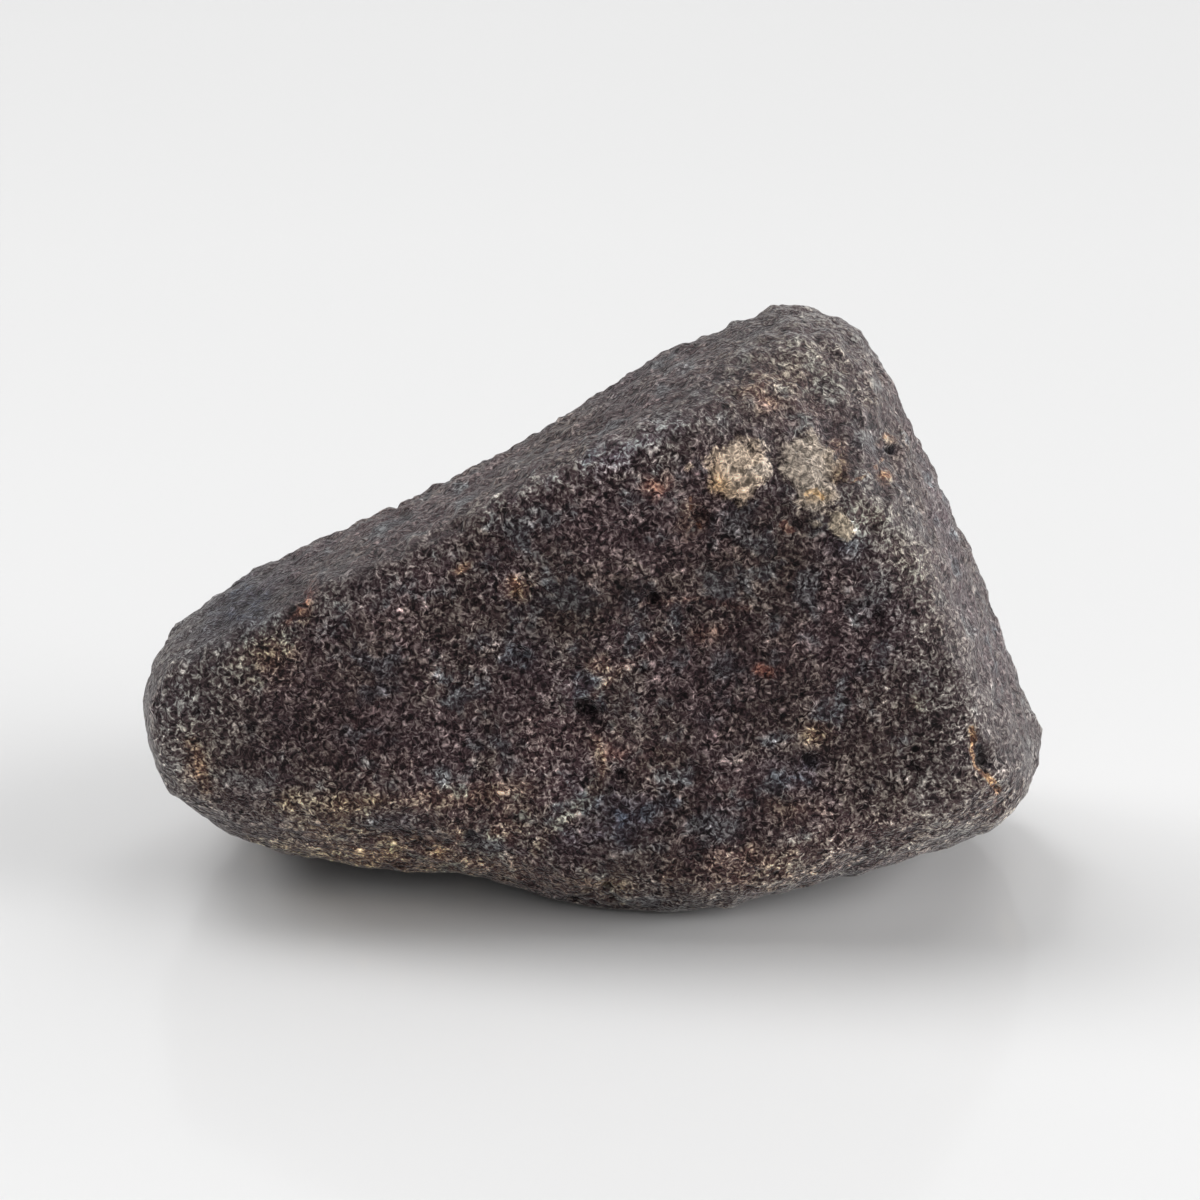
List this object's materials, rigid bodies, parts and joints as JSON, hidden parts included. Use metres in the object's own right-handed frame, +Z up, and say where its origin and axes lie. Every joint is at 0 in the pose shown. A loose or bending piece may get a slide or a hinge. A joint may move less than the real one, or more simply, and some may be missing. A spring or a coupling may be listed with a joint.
{
  "type": "chondrite meteorite",
  "caption": "Single loose stony meteorite: a blunt wedge with a low nose, a high brow and a small flat spot that it rests on, dark, fine-grained and weathered.",
  "frame": {"origin": "middle of the stone's box in X and Y, on the plane that it rests on", "axes": "+X along the stone's length from the low nose to the high brow and the heel, +Y from the broad front face to the back, +Z up from the resting plane"},
  "size_m": [0.0364, 0.019, 0.0225],
  "materials": {
    "crust": "satin, finely pitted dark stone with pale and rust-brown grains"
  },
  "bodies": {
    "root": {"meteorite": "crust"}
  },
  "joints": []
}
